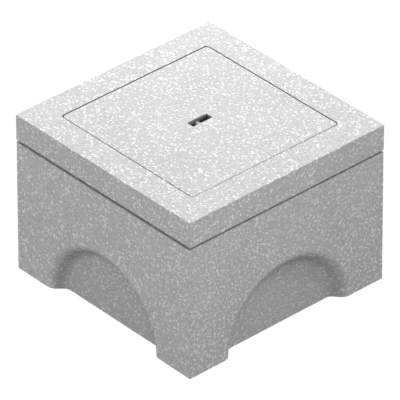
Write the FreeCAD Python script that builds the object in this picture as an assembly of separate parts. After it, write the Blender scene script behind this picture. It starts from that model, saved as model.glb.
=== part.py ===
import FreeCAD, Part
import math
import os

# Concrete inspection box: a cast base that is open below, a cast cover frame that
# stands in its mouth, and a cast lid with a steel lifting bar across its slot.
# Millimetres, +Z up. The origin is the middle of the footprint, at ground level.

# Plan sizes
FRAME_SIDE = 320.0              # outside of the cover frame, and of the base at its top
FRAME_BORDER = 38.8             # from the outside of the frame to the lid opening
BASE_WALL = 36.0                # base wall at the mouth
BASE_DRAFT = 0.9                # each side of the base leans out by this at the foot
PANEL_THICKNESS = 16.0          # concrete left behind a niche, at the ground

# Heights
BASE_HEIGHT = 191.6             # ground to the land that carries the frame
FRAME_HEIGHT = 36.4             # land to the top of the frame

# Open joint between base and frame
JOINT_GAP = 3.2                 # height of the dark line
JOINT_DEPTH = 2.5               # how far it runs in
SPIGOT_DEPTH = 8.0              # the frame's ring hangs this far into the mouth
SPIGOT_CLEARANCE = 1.5          # all round, between that ring and the mouth

# Lid and its seat
LID_GAP = 1.7                   # all round, between lid and frame
LID_THICKNESS = 26.0
LID_DROP = 0.3                  # lid top below frame top
LID_TAPER = 1.0                 # each side of lid and opening draws in by this at the seat
SEAT_WIDTH = 14.6               # ledge that the lid lies on

# Lifting slot and bar
SLOT_LENGTH = 31.7              # along Y
SLOT_WIDTH = 11.3               # along X
BAR_DIAMETER = 6.0
BAR_COVER = 4.7                 # lid top down to the top of the bar
BAR_EMBED = 22.0                # cast in, at each end
BAR_SKIN = 0.05                 # room round the bar where it is cast in

# Arched niche in each side, round a centre on the ground
NICHE_RADIUS = 98.3             # where the flank would meet the outside face unrounded
NICHE_DEPTH = 15.8
NICHE_FLANK_ANGLE = 48.0        # degrees, between the flank and the outside face
NICHE_RIM_RADIUS = 13.0         # rounding of the outer edge
NICHE_ROOT_RADIUS = 11.0        # hollow rounding at the back

# Corners and arrises
CHAMBER_CORNER_RADIUS = 14.0
OPENING_CORNER_RADIUS = 6.0
BASE_ARRIS = 1.0
TOP_ARRIS = 0.5

SIDES = 4
TURN = 360.0 / SIDES
MATCH = 0.05                    # how near an edge must come to a size to be taken as it
ORIGIN = FreeCAD.Vector(0, 0, 0)
X_AXIS = FreeCAD.Vector(1, 0, 0)
Z_AXIS = FreeCAD.Vector(0, 0, 1)

# Half sizes and levels that follow from the sizes above
outer_half = FRAME_SIDE / 2
foot_half = outer_half + BASE_DRAFT
mouth_half = outer_half - BASE_WALL
chamber_foot_half = foot_half - NICHE_DEPTH - PANEL_THICKNESS
opening_half = outer_half - FRAME_BORDER
seat_half = opening_half - LID_TAPER
throat_half = seat_half - SEAT_WIDTH
spigot_half = mouth_half - SPIGOT_CLEARANCE
frame_top = BASE_HEIGHT + FRAME_HEIGHT
lid_top = frame_top - LID_DROP
seat_level = lid_top - LID_THICKNESS
spigot_level = BASE_HEIGHT - SPIGOT_DEPTH
shoulder_level = BASE_HEIGHT - JOINT_GAP
bar_level = lid_top - BAR_COVER - BAR_DIAMETER / 2


def level_range(shape):
    """Lowest and highest Z of a shape."""
    return shape.BoundBox.ZMin, shape.BoundBox.ZMax


def is_upright(edge):
    """True for an edge that runs from one level to another."""
    low, high = level_range(edge)
    return high - low > TOP_ARRIS


def edges_at(shape, level):
    """Edges that lie flat at a level."""
    return [edge for edge in shape.Edges
            if max(abs(z - level) for z in level_range(edge)) < MATCH]


def square_block(low_half, high_half, low, high, corner_radius):
    """Square block from low to high, with straight drafted sides and round corners."""
    block = Part.makeWedge(-low_half, low, -low_half, -high_half, -high_half,
                           low_half, high, low_half, high_half, high_half)
    block.rotate(ORIGIN, X_AXIS, 90)
    return block.makeFillet(corner_radius, [edge for edge in block.Edges if is_upright(edge)])


def niche_cutter():
    """Dished half-round tool for the -Y side: its profile in radius and depth, turned
    about the line that enters the drafted face square-on at ground level."""
    angle = math.radians(NICHE_FLANK_ANGLE)
    run = 1 / math.tan(angle)
    corner = NICHE_RADIUS - NICHE_DEPTH * run
    tangent = NICHE_ROOT_RADIUS * math.tan(angle / 2)
    lead = NICHE_RIM_RADIUS

    def at(radius, depth):
        return FreeCAD.Vector(radius, depth - foot_half, 0)

    back = at(corner - tangent, NICHE_DEPTH)
    bend = at(corner - tangent + NICHE_ROOT_RADIUS * math.sin(angle / 2),
              NICHE_DEPTH - NICHE_ROOT_RADIUS * (1 - math.cos(angle / 2)))
    flank = at(corner + tangent * math.cos(angle), NICHE_DEPTH - tangent * math.sin(angle))
    mouth = at(NICHE_RADIUS + lead * run, -lead)
    centre_out = at(0, -lead)
    centre_in = at(0, NICHE_DEPTH)
    profile = Part.Wire([
        Part.makeLine(centre_in, back),
        Part.Arc(back, bend, flank).toShape(),
        Part.makeLine(flank, mouth),
        Part.makeLine(mouth, centre_out),
        Part.makeLine(centre_out, centre_in)])
    cutter = Part.Face(profile).revolve(at(0, 0), FreeCAD.Vector(0, 1, 0), 360)
    lean = math.degrees(math.atan(BASE_DRAFT / shoulder_level))
    cutter.rotate(at(0, 0), X_AXIS, -lean)
    return cutter


def is_niche_rim(edge):
    """True for the sharp arc where a niche breaks through the outside face."""
    return (isinstance(edge.Curve, Part.Circle)
            and abs(edge.Curve.Radius - NICHE_RADIUS) < MATCH)


def make_base():
    """Hollow cast base: drafted outside, four rounded niches, a raised land on top."""
    body = square_block(foot_half, outer_half, 0, shoulder_level, BASE_ARRIS)
    for side in range(SIDES):
        cutter = niche_cutter()
        cutter.rotate(ORIGIN, Z_AXIS, side * TURN)
        body = body.cut(cutter)
    body = body.makeFillet(NICHE_RIM_RADIUS, [edge for edge in body.Edges if is_niche_rim(edge)])
    land_half = outer_half - JOINT_DEPTH
    land = square_block(land_half, land_half, shoulder_level, BASE_HEIGHT, BASE_ARRIS)
    chamber = square_block(chamber_foot_half, mouth_half, 0, BASE_HEIGHT,
                           CHAMBER_CORNER_RADIUS)
    return body.fuse(land).cut(chamber)


def make_cover_frame():
    """Cast ring with a tapered opening, a ledge for the lid and a spigot below."""
    border = square_block(outer_half, outer_half, BASE_HEIGHT, frame_top, TOP_ARRIS)
    border = border.makeFillet(TOP_ARRIS, edges_at(border, frame_top))
    spigot = square_block(spigot_half, spigot_half, spigot_level, BASE_HEIGHT,
                          CHAMBER_CORNER_RADIUS - SPIGOT_CLEARANCE)
    opening = square_block(seat_half, opening_half, seat_level, frame_top,
                           OPENING_CORNER_RADIUS)
    throat = square_block(throat_half, throat_half, spigot_level, seat_level,
                          OPENING_CORNER_RADIUS)
    return border.fuse(spigot).cut(opening).cut(throat)


def bar_solid(skin):
    """Round bar across the slot, larger all over by the skin."""
    length = SLOT_WIDTH + 2 * (BAR_EMBED + skin)
    start = FreeCAD.Vector(-length / 2, 0, bar_level)
    return Part.makeCylinder(BAR_DIAMETER / 2 + skin, length, start, X_AXIS)


def make_lid():
    """Tapered cast slab with a through slot and the bed of the lifting bar."""
    slab = square_block(seat_half - LID_GAP, opening_half - LID_GAP, seat_level, lid_top,
                        OPENING_CORNER_RADIUS - LID_GAP)
    slab = slab.makeFillet(TOP_ARRIS, edges_at(slab, lid_top))
    corner = FreeCAD.Vector(-SLOT_WIDTH / 2, -SLOT_LENGTH / 2, seat_level)
    slot = Part.makeBox(SLOT_WIDTH, SLOT_LENGTH, LID_THICKNESS, corner)
    return slab.cut(slot).cut(bar_solid(BAR_SKIN))


def make_lifting_bar():
    """Plain galvanised round bar, cast into the lid at both ends."""
    return bar_solid(0)


os.makedirs("parts", exist_ok=True)
pieces = {
    "base": make_base(),
    "cover_frame": make_cover_frame(),
    "lid": make_lid(),
    "lifting_bar": make_lifting_bar(),
}
for name, shape in pieces.items():
    solid = shape.Solids[0]
    assert len(shape.Solids) == 1 and solid.isValid(), name
    solid.exportStep("parts/" + name + ".step")
    print(name, round(solid.Volume / 1e6, 4), "litres, top at", round(solid.BoundBox.ZMax, 2))
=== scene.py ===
import math

import bpy
from mathutils import Matrix, Vector

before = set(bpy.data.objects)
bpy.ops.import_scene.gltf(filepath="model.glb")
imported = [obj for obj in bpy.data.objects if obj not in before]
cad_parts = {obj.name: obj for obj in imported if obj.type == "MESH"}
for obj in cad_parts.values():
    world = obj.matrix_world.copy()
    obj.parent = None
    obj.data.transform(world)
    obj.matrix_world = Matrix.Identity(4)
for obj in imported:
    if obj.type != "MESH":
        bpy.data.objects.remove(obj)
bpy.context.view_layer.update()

MM = 0.001


# Shader maths, used by all materials below, and the two steps that each of them shares:
# an empty material to begin with, and its place on a CAD node.

class Shade:
    """One output in a material's node tree. Arithmetic on it adds Math nodes."""

    def __init__(self, tree, link=None):
        self.tree = tree
        self.link = link

    def node(self, kind, settings=(), inputs=(), output=0):
        """Adds a node: its settings first, then the values or links of its sockets."""
        made = self.tree.nodes.new("ShaderNode" + kind)
        for name, value in dict(settings).items():
            setattr(made, name, value)
        for socket, value in dict(inputs).items():
            if isinstance(value, Shade):
                self.tree.links.new(value.link, made.inputs[socket])
            else:
                made.inputs[socket].default_value = value
        return Shade(self.tree, made.outputs[output])

    def other(self, output):
        """Another output of the same node."""
        return Shade(self.tree, self.link.node.outputs[output])

    def math(self, operation, *values):
        return self.node("Math", {"operation": operation}, enumerate(values))

    def __add__(self, other):
        return self.math("ADD", self, other)

    def __sub__(self, other):
        return self.math("SUBTRACT", self, other)

    def __rsub__(self, other):
        return self.math("SUBTRACT", other, self)

    def __mul__(self, other):
        return self.math("MULTIPLY", self, other)

    __radd__ = __add__
    __rmul__ = __mul__

    def __abs__(self):
        return self.math("ABSOLUTE", self)

    def larger(self, other):
        return self.math("MAXIMUM", self, other)

    def rise(self, low, high):
        """0 below low, 1 above high, smooth between."""
        return self.node("MapRange", {"interpolation_type": "SMOOTHSTEP"},
                         {"Value": self, "From Min": low, "From Max": high})

    def fall(self, low, high):
        """1 below low, 0 above high, smooth between."""
        return 1 - self.rise(low, high)

    def between(self, first, second):
        """The first number where this is 0, the second where it is 1."""
        return self * (second - first) + first

    def blend(self, first, second):
        """The first colour where this is 0, the second where it is 1."""
        colours = {"Factor": self, 6: first, 7: second}
        return self.node("Mix", {"data_type": "RGBA"}, colours, output=2)

    def axes(self):
        """X, Y and Z of a place."""
        split = self.node("SeparateXYZ", inputs={0: self})
        return [split.other(axis) for axis in "XYZ"]

    def noise(self, size, detail, roughness, output=0):
        """Noise at a place, about one size from bump to bump."""
        return self.node("TexNoise", inputs={
            "Vector": self, "Scale": 1 / size, "Detail": detail, "Roughness": roughness,
        }, output=output)

    def cells(self, pitch):
        """Distance to the middle of the nearest cell, in pitches, and that cell's number."""
        distance = self.node("TexVoronoi", inputs={"Vector": self, "Scale": 1 / pitch})
        return distance, self.node("SeparateColor", inputs={0: distance.other("Color")})


def new_material(name):
    """An empty node material, with a Shade on its tree and its surface input."""
    material = bpy.data.materials.new(name)
    material.use_nodes = True
    tree = material.node_tree
    tree.nodes.clear()
    output = tree.nodes.new("ShaderNodeOutputMaterial")
    return material, Shade(tree), output.inputs["Surface"]


def dress(node_name, material):
    """Gives a CAD node its one material."""
    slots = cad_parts[node_name].data.materials
    slots.clear()
    slots.append(material)


# Concrete.
# The three castings are one pale concrete: a light grey paste packed with crushed white
# stone of 1.5 to 4 mm, with stone dust and sand between. They are cast one by one, so the
# pattern starts at another place in each. Painted shade darkens them in the joint, the gaps,
# the niches and the slot, where shade falls.

PASTE_PALE = (0.710, 0.710, 0.710, 1.0)
PASTE_DARK = (0.500, 0.500, 0.500, 1.0)
STONE_WHITE = (0.945, 0.945, 0.945, 1.0)
STONE_DULL = (0.765, 0.765, 0.765, 1.0)
# painted shade: the dark colour laid into the joint, gaps, niches and slot
PAINTED_SHADE_COLOUR = (0.050, 0.050, 0.048, 1.0)
CHIP_PITCH = 3.7 * MM           # from one crushed stone to the next
CHIP_WANDER = 0.8 * MM          # how far a stone's outline strays from round
CHIP_RADIUS = -0.205            # in pitches, before the next two are added
CHIP_SPREAD = 0.25              # from the smallest to the largest stone
CLUMP_SPREAD = 0.80             # from places with few stones to places with many
CLUMP_SIZE = 6.5 * MM
CHIP_OUTLINE = (-0.07, 0.09)    # softness of the outline, in pitches
CHIP_WHITENESS = (0.2, 0.8)     # numbers of the last dull and the first white stone
FINES_PITCH = 1.7 * MM
FINES_WANDER = 0.3 * FINES_PITCH
FINES_SPREAD = 0.42
FINES_OUTLINE = (-0.06, 0.10)
FINES_SHARE = 0.35              # how much of their own colour they show
STRAY_SIZE = 0.55               # size of the bends in an outline, in pitches
MOTTLE_SIZE = 2.8 * MM          # light and dark grain of the paste itself
MOTTLE_RANGE = (0.25, 0.75)
MOTTLE_SHARE = 0.85             # the rest is cloudiness
PATCH_SIZE = 70.0 * MM          # faint cloudiness of the dried paste
PATCH_RANGE = (0.3, 0.7)
SAND_SIZE = 0.55 * MM           # tooth of the surface under the fingers
SAND_HEIGHT = 0.05 * MM
ROUGHNESS = (0.95, 0.80)        # of the paste and of the stones
SPECULAR = 0.25


def concrete(name, start, painted_shades):
    """Concrete with its stone pattern begun at its own place in the mix, under its painted
    shade. The painted shade is heavier on the two sides toward -X and -Y."""
    material, shade, surface = new_material(name)
    place = shade.node("TexCoord", output="Object")
    x, y, z = place.axes()
    # painted shade is heavier where x + y < 0, on the sides toward -X and -Y
    shade_heavy_side = shade.math("LESS_THAN", x + y, 0.0)
    out = abs(x).larger(abs(y))
    painted_shade = sum(shading(abs(x), abs(y), z, out, shade_heavy_side) for shading in painted_shades)
    place = shade.node("Mapping", inputs={"Vector": place, "Location": start})

    def scattered(pitch, wander):
        """Cells whose outlines stray from round."""
        stray = place.noise(STRAY_SIZE * pitch, 1.0, 0.5, output="Color")
        for operation, inputs in (("SUBTRACT", {1: (0.5, 0.5, 0.5)}),
                                  ("SCALE", {"Scale": 2 * wander}),
                                  ("ADD", {1: place})):
            stray = shade.node("VectorMath", {"operation": operation}, {0: stray, **inputs})
        return stray.cells(pitch)

    clump = place.noise(CLUMP_SIZE, 2.0, 0.6)
    distance, chance = scattered(CHIP_PITCH, CHIP_WANDER)
    reach = chance * CHIP_SPREAD + clump * CLUMP_SPREAD + CHIP_RADIUS
    chip = (reach - distance).rise(*CHIP_OUTLINE)
    distance, fines_chance = scattered(FINES_PITCH, FINES_WANDER)
    fines = (fines_chance * FINES_SPREAD - distance).rise(*FINES_OUTLINE)
    mottle = place.noise(MOTTLE_SIZE, 2.0, 0.6).rise(*MOTTLE_RANGE)
    patch = place.noise(PATCH_SIZE, 3.0, 0.55).rise(*PATCH_RANGE)
    paste = mottle * MOTTLE_SHARE + patch * (1 - MOTTLE_SHARE)
    colour = paste.blend(PASTE_DARK, PASTE_PALE)
    colour = (fines * FINES_SHARE).blend(colour, STONE_DULL)
    stone = chance.rise(*CHIP_WHITENESS).blend(STONE_DULL, STONE_WHITE)
    colour = chip.blend(colour, stone)
    sand = place.noise(SAND_SIZE, 3.0, 0.6)
    shader = shade.node("BsdfPrincipled", inputs={
        # the painted shade darkens the concrete's colour here
        "Base Color": painted_shade.blend(colour, PAINTED_SHADE_COLOUR),
        "Roughness": chip.between(*ROUGHNESS),
        "Specular IOR Level": SPECULAR,
        "Normal": shade.node("Bump", inputs={
            "Strength": 1.0, "Distance": SAND_HEIGHT, "Height": sand}),
    })
    shade.tree.links.new(shader.link, surface)
    return material


# Base.
# One hollow casting, open below, with an arched niche in each side. The cover frame lies
# loose on it. Painted shade darkens the open joint between the two, and lightly the flanks
# and backs of the niches and the inside, most of all near the ground.

BASE_START = (0.9, 5.3, 2.2)    # where its stone pattern begins, in metres
OUTER_HALF = 160.0 * MM         # at the shoulder of the base, and of the whole cover frame
SHOULDER = 188.4 * MM
LEAN = 0.9 / 188.4              # how the sides of the base run out toward the foot
NICHE_PAINTED_SHADE = (0.030, 0.085)     # share of painted shade that shows, on the +X/+Y and the -X/-Y sides
NICHE_START = (2.0 * MM, 8.0 * MM)      # depths from the face over which it sets in
GROUND_PAINTED_SHADE = 0.045             # so much more painted shade near the ground
GROUND_SHADE_HEIGHT = 60.0 * MM
FLANK_PAINTED_SHADE = 0.09               # so much more painted shade on the slope between face and back
FLANK_START = (2.0 * MM, 6.0 * MM)      # depths over which that slope begins
FLANK_END = (10.0 * MM, 14.0 * MM)      # and ends
JOINT_PAINTED_SHADE = (0.57, 0.65)       # painted shade inside the joint, on the +X/+Y and the -X/-Y sides
JOINT_MIDDLE = 190.0 * MM
JOINT_HALF = 1.6 * MM
JOINT_START = (0.2 * MM, 1.5 * MM)      # depths from the face over which it sets in
JOINT_END = (JOINT_HALF + 0.1 * MM, JOINT_HALF + 0.3 * MM)
EDGE_PAINTED_SHADE = (0.38, 0.36)        # painted shade on the edges of the joint
EDGE_WIDTH = (0.6 * MM, 1.4 * MM)       # how far it runs out, +X/+Y and -X/-Y sides
EDGE_END = (JOINT_HALF - 0.6 * MM, JOINT_HALF)
SHADE_RISE = 0.25 * MM           # how far up it has shifted on the -X/-Y sides


def niche_painted_shade(x, y, z, out, shade_heavy_side):
    """Painted shade at the back and on the flank of the niches, and all over the inside."""
    inward = OUTER_HALF + (SHOULDER - z) * LEAN - out
    shading = shade_heavy_side.between(*NICHE_PAINTED_SHADE) + z.fall(0.0, GROUND_SHADE_HEIGHT) * GROUND_PAINTED_SHADE
    flank = inward.rise(*FLANK_START) * inward.fall(*FLANK_END) * FLANK_PAINTED_SHADE
    return inward.rise(*NICHE_START) * shading + flank


def joint_painted_shade(x, y, z, out, shade_heavy_side):
    """Painted shade inside the joint between base and cover frame, and less of it on the two
    edges.
    """
    inner = (OUTER_HALF - out).rise(*JOINT_START) * abs(z - JOINT_MIDDLE).fall(*JOINT_END)
    off = abs(z - JOINT_MIDDLE - shade_heavy_side * SHADE_RISE)
    edge = (off - shade_heavy_side.between(*EDGE_WIDTH)).fall(*EDGE_END)
    return (inner * shade_heavy_side.between(*JOINT_PAINTED_SHADE)).larger(edge * shade_heavy_side.between(*EDGE_PAINTED_SHADE))


dress("base", concrete("concrete_base", BASE_START, (joint_painted_shade, niche_painted_shade)))

# Cover frame.
# One cast ring that lies loose on the base and covers its wall. Its opening tapers down
# to the ledge that the lid lies on, and painted shade darkens the upper part of that wall, in
# the gap round the lid.

FRAME_START = (3.1, 1.7, 0.4)
FRAME_TOP = 228.0 * MM
OPENING_HALF = 121.2 * MM
OPENING_PAINTED_SHADE = (0.60, 0.84)     # painted shade on the +X/+Y and the -X/-Y sides
WALL_RANGE = (OPENING_HALF + 0.1 * MM, OPENING_HALF + 0.2 * MM)     # just outside the wall
RIM_RANGE = (0.05 * MM, 0.8 * MM)   # depths below the rim over which the painted shade sets in
GAP_FADE = (8.0 * MM, 20.0 * MM)    # painted shade in the lid gap thins out over these depths


def opening_painted_shade(x, y, z, out, shade_heavy_side):
    """Painted shade on the wall of the cover frame's opening."""
    below = FRAME_TOP - z
    shading = out.fall(*WALL_RANGE) * below.rise(*RIM_RANGE) * below.fall(*GAP_FADE)
    return shading * shade_heavy_side.between(*OPENING_PAINTED_SHADE)


dress("cover_frame", concrete("concrete_cover_frame", FRAME_START, (joint_painted_shade, opening_painted_shade)))

# Lid.
# One cast slab that lies loose in the frame's opening, with a slot for the lifting key.
# Painted shade darkens its sides in the gap, and its slot, more so deeper down.

LID_START = (1.3, 4.2, 2.6)
LID_TOP = 227.7 * MM
LID_PAINTED_SHADE = (0.38, 0.72)         # painted shade on its own sides, +X/+Y and -X/-Y
SIDE_RANGE = (118.2 * MM, 118.3 * MM)   # just inside its sides
SIDE_TOP = (0.2 * MM, 1.0 * MM)
SLOT_PAINTED_SHADE = 0.65                # share of painted shade that shows at the top of the slot
SLOT_X = (5.70 * MM, 5.75 * MM)         # just outside the slot's walls
SLOT_Y = (15.90 * MM, 15.95 * MM)
SLOT_TOP = (0.1 * MM, 0.4 * MM)
SLOT_FADE = (1.0 * MM, 8.0 * MM)        # all of it shows below these depths


def lid_painted_shade(x, y, z, out, shade_heavy_side):
    """Painted shade on the sides of the lid, and in its slot, darker with depth."""
    below = LID_TOP - z
    side = out.rise(*SIDE_RANGE) * below.rise(*SIDE_TOP) * below.fall(*GAP_FADE)
    slot = x.fall(*SLOT_X) * y.fall(*SLOT_Y) * below.rise(*SLOT_TOP)
    slot = slot * below.rise(*SLOT_FADE).between(SLOT_PAINTED_SHADE, 1.0)
    return side * shade_heavy_side.between(*LID_PAINTED_SHADE) + slot


dress("lid", concrete("concrete_lid", LID_START, (lid_painted_shade,)))

# Lifting bar.
# A length of 6 mm round steel bar, hot-dip galvanised, cast into the lid at both ends
# across the slot. The zinc has gone dull, with a faint spangle.

ZINC_PALE = (0.90, 0.90, 0.90, 1.0)
ZINC_DARK = (0.70, 0.70, 0.70, 1.0)
ZINC_METALLIC = 0.5
ZINC_ROUGHNESS = (0.42, 0.62)
SPANGLE_SIZE = 2.2 * MM
SPANGLE_SHARE = 0.6             # the rest is grain
ZINC_GRAIN = 0.3 * MM
ZINC_HEIGHT = 0.02 * MM

steel, shade, surface = new_material("galvanised_steel")
place = shade.node("TexCoord", output="Object")
_, spangle = place.cells(SPANGLE_SIZE)
grain = place.noise(ZINC_GRAIN, 2.0, 0.5)
zinc = spangle * SPANGLE_SHARE + grain * (1 - SPANGLE_SHARE)
shader = shade.node("BsdfPrincipled", inputs={
    "Base Color": zinc.blend(ZINC_DARK, ZINC_PALE),
    "Metallic": ZINC_METALLIC,
    "Roughness": grain.between(*ZINC_ROUGHNESS),
    "Normal": shade.node("Bump", inputs={
        "Strength": 1.0, "Distance": ZINC_HEIGHT, "Height": grain}),
})
shade.tree.links.new(shader.link, surface)
dress("lifting_bar", steel)

# Floor and backdrop, which aren't part of the object.
# A plain pale sheet: white to the camera but for the object's shadow, and dark to
# everything else, so that it throws little light back up the sides. It is dark to the
# camera too where it shows inside the box, and clear from below.

FLOOR_HALF = 5.0
FLOOR_DROP = 0.1 * MM           # below the object's feet
FLOOR_PAPER = (0.90, 0.90, 0.90, 1.0)
FLOOR_GLOW = 0.96               # share of the floor's white that no shadow darkens
FLOOR_WHITE = 1.02              # strength of that white
FLOOR_BOUNCE = (0.17, 0.17, 0.17, 1.0)
BOUNCE_GLOW = 0.10              # what it sends up even where no lamp reaches it
CHAMBER_HALF = 130.0 * MM       # floor that shows through the open base
WHITE = (1.0, 1.0, 1.0, 1.0)

mesh = bpy.data.meshes.new("floor")
corners = [(x * FLOOR_HALF, y * FLOOR_HALF, -FLOOR_DROP)
           for x, y in ((-1, -1), (1, -1), (1, 1), (-1, 1))]
mesh.from_pydata(corners, [], [(0, 1, 2, 3)])
floor = bpy.data.objects.new("floor", mesh)
bpy.context.scene.collection.objects.link(floor)
paper, shade, surface = new_material("floor_paper")
x, y, _ = shade.node("TexCoord", output="Object").axes()
outside = shade.math("GREATER_THAN", abs(x).larger(abs(y)), CHAMBER_HALF)
seen = shade.node("LightPath", output="Is Camera Ray")
under = shade.node("NewGeometry", output="Backfacing")
white = shade.node("Emission", inputs={"Color": WHITE, "Strength": FLOOR_WHITE})
lit = shade.node("BsdfDiffuse", inputs={"Color": FLOOR_PAPER})
lit = shade.node("MixShader", inputs={0: FLOOR_GLOW, 1: lit, 2: white})
dull = shade.node("BsdfDiffuse", inputs={"Color": FLOOR_BOUNCE})
dull = shade.node("MixShader", inputs={0: BOUNCE_GLOW, 1: dull, 2: white})
above = shade.node("MixShader", inputs={0: seen * outside, 1: dull, 2: lit})
clear = shade.node("BsdfTransparent")
sheet = shade.node("MixShader", inputs={0: seen * under, 1: above, 2: clear})
shade.tree.links.new(sheet.link, surface)
mesh.materials.append(paper)

# Light.
# Seven soft lamps stand round the object, most of them to the sides and behind, so that
# the two near faces are lit at a slant and the niches keep their shade. Round them is
# white that lights nothing, but that the camera sees, and shiny surfaces mirror.

LAMPS = (
    # plan direction and height above the floor in degrees, distance in metres, strength
    (147, 35, 1.16, 0.662),
    (45, 62, 3.0, 0.405),
    (-30, 35, 1.3, 0.368),
    (90, 10, 1.3, 0.420),
    (-150, 35, 1.3, 0.260),
    (-120, 8, 6.0, 0.372),
    (30, 35, 1.3, 0.070),
)
LAMP_SPREAD = math.radians(30)  # angle that a lamp fills, seen from the object
AIM = Vector((0.0, 0.0, 0.12))

for turn, height, distance, strength in LAMPS:
    light = bpy.data.lights.new("lamp", "AREA")
    light.shape = "SQUARE"
    light.size = 2 * distance * math.tan(LAMP_SPREAD / 2)
    light.energy = strength * (math.pi * distance) ** 2
    turn, height = math.radians(turn), math.radians(height)
    toward = Vector((math.cos(turn) * math.cos(height), math.sin(turn) * math.cos(height),
                     math.sin(height)))
    lamp = bpy.data.objects.new("lamp", light)
    lamp.location = AIM + toward * distance
    lamp.rotation_euler = toward.to_track_quat("Z", "Y").to_euler()
    lamp.visible_camera = False
    bpy.context.scene.collection.objects.link(lamp)

world = bpy.data.worlds.new("studio")
world.use_nodes = True
world.node_tree.nodes.clear()
seen = Shade(world.node_tree).node("LightPath", output="Is Camera Ray")
plain = seen + seen.other("Is Glossy Ray") + seen.other("Is Transmission Ray")
sky = plain.node("Background", inputs={"Color": WHITE, "Strength": plain})
output = world.node_tree.nodes.new("ShaderNodeOutputWorld")
world.node_tree.links.new(sky.link, output.inputs["Surface"])
bpy.context.scene.world = world

# Camera.
# A long lens, 48 degrees round from the front to the right and 34 degrees up.

CAMERA_AZIMUTH = 0.839474       # radians, as the next two are
CAMERA_ELEVATION = 0.593296
CAMERA_ROLL = 0.001654
CAMERA_DISTANCE = 7.0509
CAMERA_SENSOR = 36.0            # millimetres, as the lens is
CAMERA_LENS = 513.07
CAMERA_REACH = 50.0
CAMERA_TARGET = Vector((0.000960, -0.000696, 0.110251))

back = Vector((math.sin(CAMERA_AZIMUTH) * math.cos(CAMERA_ELEVATION),
               -math.cos(CAMERA_AZIMUTH) * math.cos(CAMERA_ELEVATION),
               math.sin(CAMERA_ELEVATION)))
level_right = Vector((math.cos(CAMERA_AZIMUTH), math.sin(CAMERA_AZIMUTH), 0.0))
level_up = back.cross(level_right)
right = level_right * math.cos(CAMERA_ROLL) - level_up * math.sin(CAMERA_ROLL)
up = back.cross(right)
lens = bpy.data.cameras.new("camera")
lens.sensor_width = CAMERA_SENSOR
lens.lens = CAMERA_LENS
lens.clip_end = CAMERA_REACH
camera = bpy.data.objects.new("camera", lens)
camera.location = CAMERA_TARGET + back * CAMERA_DISTANCE
camera.rotation_mode = "QUATERNION"
camera.rotation_quaternion = Matrix((right, up, back)).transposed().to_quaternion()
bpy.context.scene.collection.objects.link(camera)
bpy.context.scene.camera = camera
bpy.context.scene.view_settings.view_transform = "Standard"
